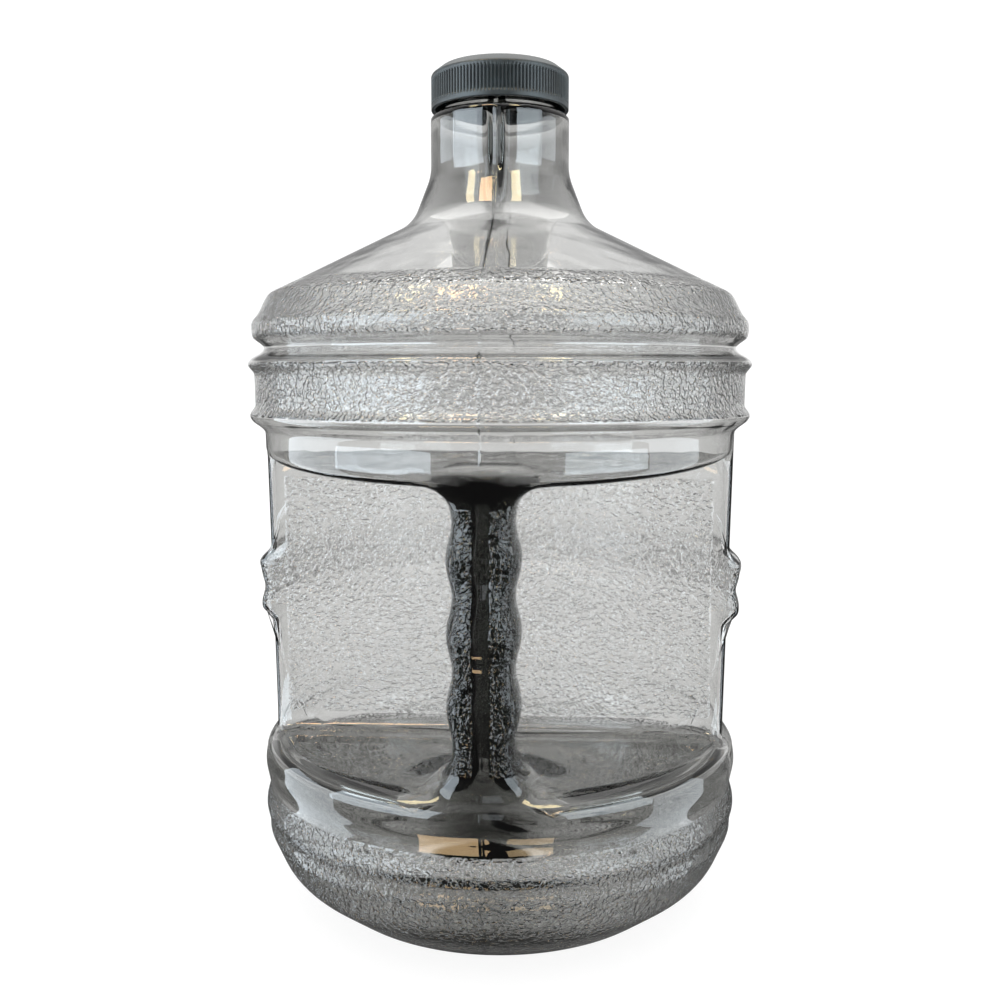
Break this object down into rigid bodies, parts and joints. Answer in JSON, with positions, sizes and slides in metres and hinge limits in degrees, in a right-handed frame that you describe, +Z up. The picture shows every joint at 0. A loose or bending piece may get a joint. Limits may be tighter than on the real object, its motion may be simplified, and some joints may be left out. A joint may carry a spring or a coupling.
{
  "type": "large water jug",
  "caption": "Large clear smoky plastic water jug with ribbed belly, hollow handle in a hand recess, and a threaded screw cap.",
  "frame": {"origin": "centre of the base, on the plane that the jug stands on", "axes": "+Z up along the bottle's axis, the handle and hand recess towards -Y, +X to the right seen from the handle"},
  "size_m": [0.1736, 0.1736, 0.2872],
  "materials": {
    "smoky_clear_plastic": "clear smoky grey, glossy, with a fine pebbled grain on the ribbed bands, recess wall, handle and foot",
    "black_plastic": "black, satin, finely ribbed skirt",
    "white_foam": "white closed-cell foam, matt"
  },
  "bodies": {
    "jug": {"jug_body": "smoky_clear_plastic"},
    "liner": {"cap_liner": "white_foam"},
    "cap": {"screw_cap": "black_plastic"}
  },
  "joints": [
    {"name": "cap_lift", "type": "slide", "parent": "jug", "child": "liner", "axis": [0, 0, 1], "range_m": [0, 0.0128]},
    {"name": "cap_turn", "type": "hinge", "parent": "liner", "child": "cap", "pos_m": [0, 0, 0.2802], "axis": [0, 0, 1], "range_deg": [0, 1080]}
  ],
  "couplings": [
    {"joint": "cap_lift", "follows": "cap_turn", "m_per_rad": 0.00067375}
  ]
}
